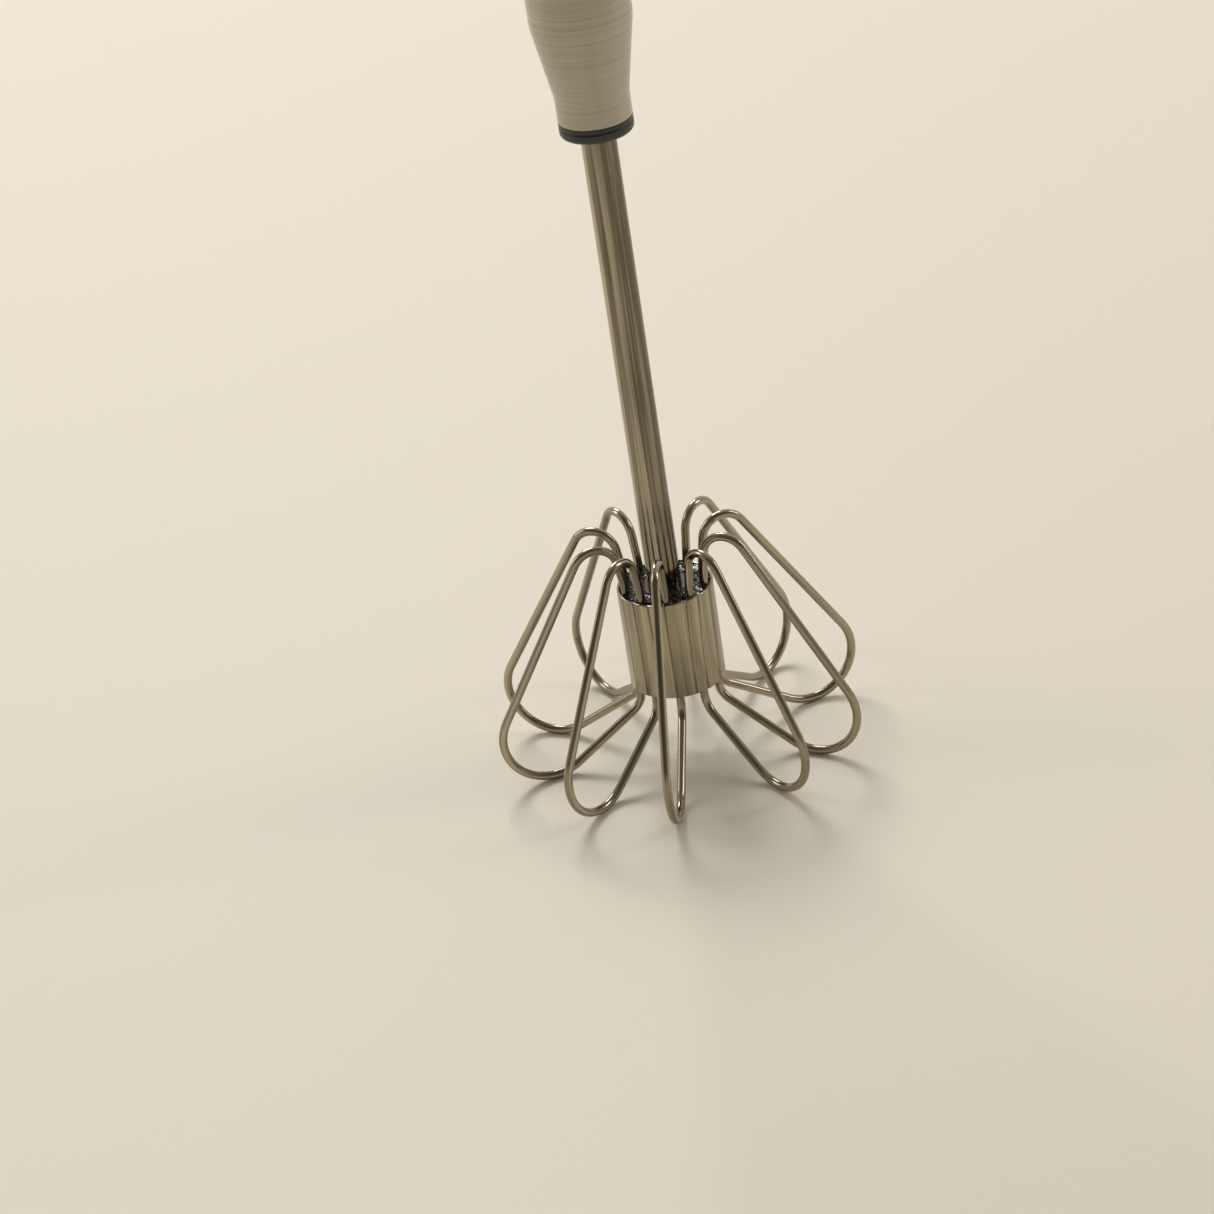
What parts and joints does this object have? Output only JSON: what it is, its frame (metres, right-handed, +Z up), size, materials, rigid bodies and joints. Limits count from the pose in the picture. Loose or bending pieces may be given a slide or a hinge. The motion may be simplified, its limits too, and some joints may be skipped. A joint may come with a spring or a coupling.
{
  "type": "push-down rotary balloon whisk",
  "caption": "Hand whisk whose head of looped wires spins on a thin spindle when its tubular handle is pressed down, and springs back.",
  "frame": {"origin": "on the whisk's own axis, level with the lowest points of the wires", "axes": "+Z up the spindle from the head to the handle; -Y towards the first wire"},
  "size_m": [0.0762, 0.0797, 0.2946],
  "materials": {
    "wire_steel": "polished stainless steel wire",
    "ferrule_steel": "polished stainless steel",
    "spindle_steel": "polished stainless steel with fine draw lines",
    "handle_steel": "stainless steel brushed round the grip",
    "cap_steel": "polished stainless steel",
    "strip_steel": "rolled stainless steel strip",
    "spring_steel": "drawn spring steel",
    "core_plastic": "black moulded plastic",
    "black_filling": "glossy black filling",
    "nut_plastic": "natural acetal plastic",
    "bush_plastic": "black acetal plastic",
    "wiper_rubber": "dark silicone rubber"
  },
  "bodies": {
    "handle": {"handle_shell": "handle_steel", "handle_cap": "cap_steel", "anchor_plug": "nut_plastic", "anchor_pin": "spindle_steel", "drive_strip": "strip_steel", "return_spring": "spring_steel", "guide_bush": "bush_plastic", "wiper_ring": "wiper_rubber"},
    "follower": {"thrust_washer": "strip_steel"},
    "whisk": {"spindle_tube": "spindle_steel", "drive_nut": "nut_plastic", "tube_end_plug": "core_plastic", "hub_ferrule": "ferrule_steel", "hub_core": "core_plastic", "hub_pin": "spindle_steel", "upper_filling": "black_filling", "lower_filling": "black_filling", "whisk_wire_01": "wire_steel", "whisk_wire_02": "wire_steel", "whisk_wire_03": "wire_steel", "whisk_wire_04": "wire_steel", "whisk_wire_05": "wire_steel", "whisk_wire_06": "wire_steel", "whisk_wire_07": "wire_steel", "whisk_wire_08": "wire_steel", "whisk_wire_09": "wire_steel", "whisk_wire_10": "wire_steel"}
  },
  "joints": [
    {"name": "push_slide", "type": "slide", "parent": "handle", "child": "follower", "axis": [0, 0, 1], "range_m": [0, 0.06], "stiffness_N_per_m": 175, "springref_m": -0.02, "deforming": ["return_spring"]},
    {"name": "whisk_spin", "type": "hinge", "parent": "follower", "child": "whisk", "pos_m": [0, 0, 0.1], "axis": [0, 0, 1], "range_deg": [0, 720]}
  ],
  "couplings": [
    {"joint": "whisk_spin", "follows": "push_slide", "rad_per_m": 209.44}
  ]
}
